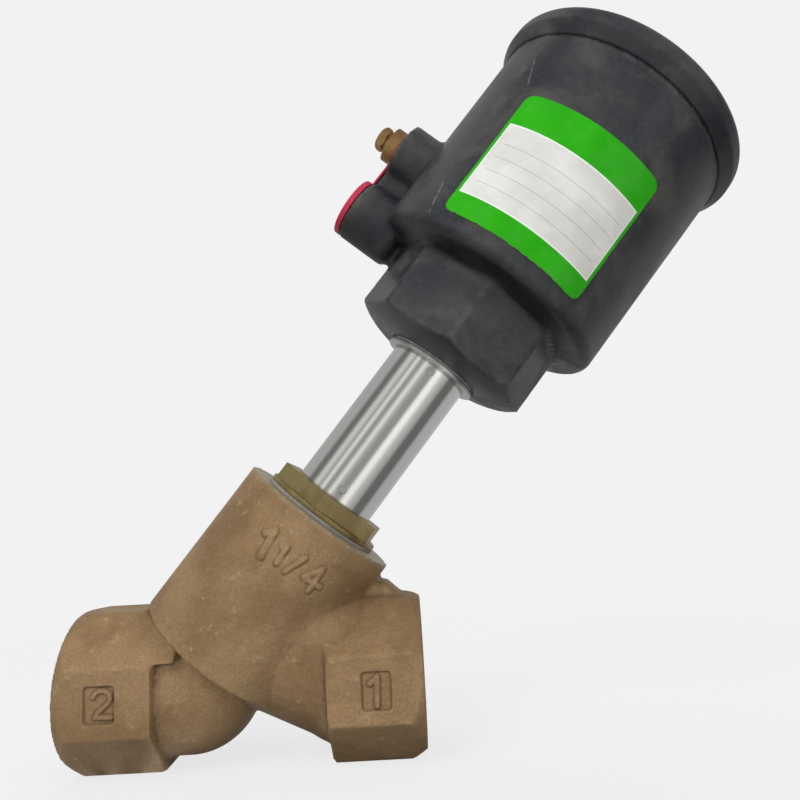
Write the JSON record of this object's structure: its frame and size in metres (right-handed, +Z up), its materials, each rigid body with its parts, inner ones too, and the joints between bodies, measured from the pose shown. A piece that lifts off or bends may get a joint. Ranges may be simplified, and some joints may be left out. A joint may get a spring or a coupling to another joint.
{
  "type": "angle seat valve",
  "caption": "Angle seat valve: cast body with two female threaded ends, inclined bonnet tube and a piston actuator that lifts the seat disc against springs.",
  "frame": {"origin": "centre of the inlet mouth, on the pipe's centre line", "axes": "+X along the pipe from inlet to outlet, +Z up to the actuator's side, Y across"},
  "size_m": [0.2268, 0.0934, 0.2411],
  "materials": {
    "cast_bronze": "sand-cast bronze, dull, slightly rough",
    "turned_brass": "machined brass, dulled",
    "vent_brass": "machined brass, worn",
    "stainless": "turned and polished stainless steel",
    "dull_steel": "turned stainless steel, dull",
    "spring_steel": "drawn spring wire",
    "piston_alloy": "turned aluminium",
    "black_moulding": "glass-filled black plastic, scuffed and dusty",
    "white_ptfe": "PTFE",
    "grey_seal": "fibre gasket",
    "black_rubber": "moulded rubber",
    "signal_orange": "orange plastic",
    "clear_dome": "clear moulded plastic",
    "red_plastic": "soft red plastic",
    "label_foil": "silvery printed foil, blank, with two green bands"
  },
  "bodies": {
    "valve": {"valve_body": "cast_bronze", "bonnet_gasket": "grey_seal", "bonnet": "turned_brass", "stem_wiper": "white_ptfe", "lower_guide_bush": "white_ptfe", "packing_base": "turned_brass", "packing_ring_1": "white_ptfe", "packing_ring_2": "white_ptfe", "packing_ring_3": "white_ptfe", "packing_ring_4": "white_ptfe", "packing_gland": "turned_brass", "packing_spring": "spring_steel", "packing_spring_stop": "stainless", "upper_guide_bush": "white_ptfe", "housing_tube": "stainless", "lower_tube_pin": "stainless", "upper_tube_pin": "stainless", "tube_flange": "dull_steel", "thrust_washer": "white_ptfe", "head_washer": "stainless", "head_nut": "stainless"},
    "stem": {"stem": "stainless", "disc_holder": "turned_brass", "seat_disc": "white_ptfe", "disc_washer": "stainless", "disc_nut": "stainless", "piston": "piston_alloy", "piston_lip_seal": "black_rubber", "piston_guide_band": "white_ptfe", "piston_stem_seal": "black_rubber", "piston_washer": "stainless", "piston_nut": "stainless", "position_indicator": "signal_orange"},
    "actuator": {"actuator_casing": "black_moulding", "hub_seal_1": "black_rubber", "hub_seal_2": "black_rubber", "outer_spring": "spring_steel", "inner_spring": "spring_steel", "spring_plate": "spring_steel", "actuator_cap": "black_moulding", "cap_seal": "black_rubber", "dome_seal": "black_rubber", "indicator_dome": "clear_dome", "pilot_insert": "turned_brass", "vent_insert": "turned_brass", "exhaust_vent": "vent_brass", "strap_loop": "red_plastic", "label": "label_foil"},
    "plug": {"pilot_plug": "red_plastic"}
  },
  "joints": [
    {"name": "stem_lift", "type": "slide", "parent": "valve", "child": "stem", "axis": [0.6361, 0, 0.7716], "range_m": [0, 0.012], "stiffness_N_per_m": 2000, "springref_m": -0.02, "deforming": ["outer_spring", "inner_spring"]},
    {"name": "actuator_turn", "type": "hinge", "parent": "valve", "child": "actuator", "pos_m": [0.0365, 0, 0], "axis": [0.6361, 0, 0.7716], "continuous": true},
    {"name": "plug_swing", "type": "hinge", "parent": "actuator", "child": "plug", "pos_m": [0.10623, -0.0026, 0.17112], "axis": [-0.0363, 0.9989, 0.03], "range_deg": [0, 90]}
  ]
}
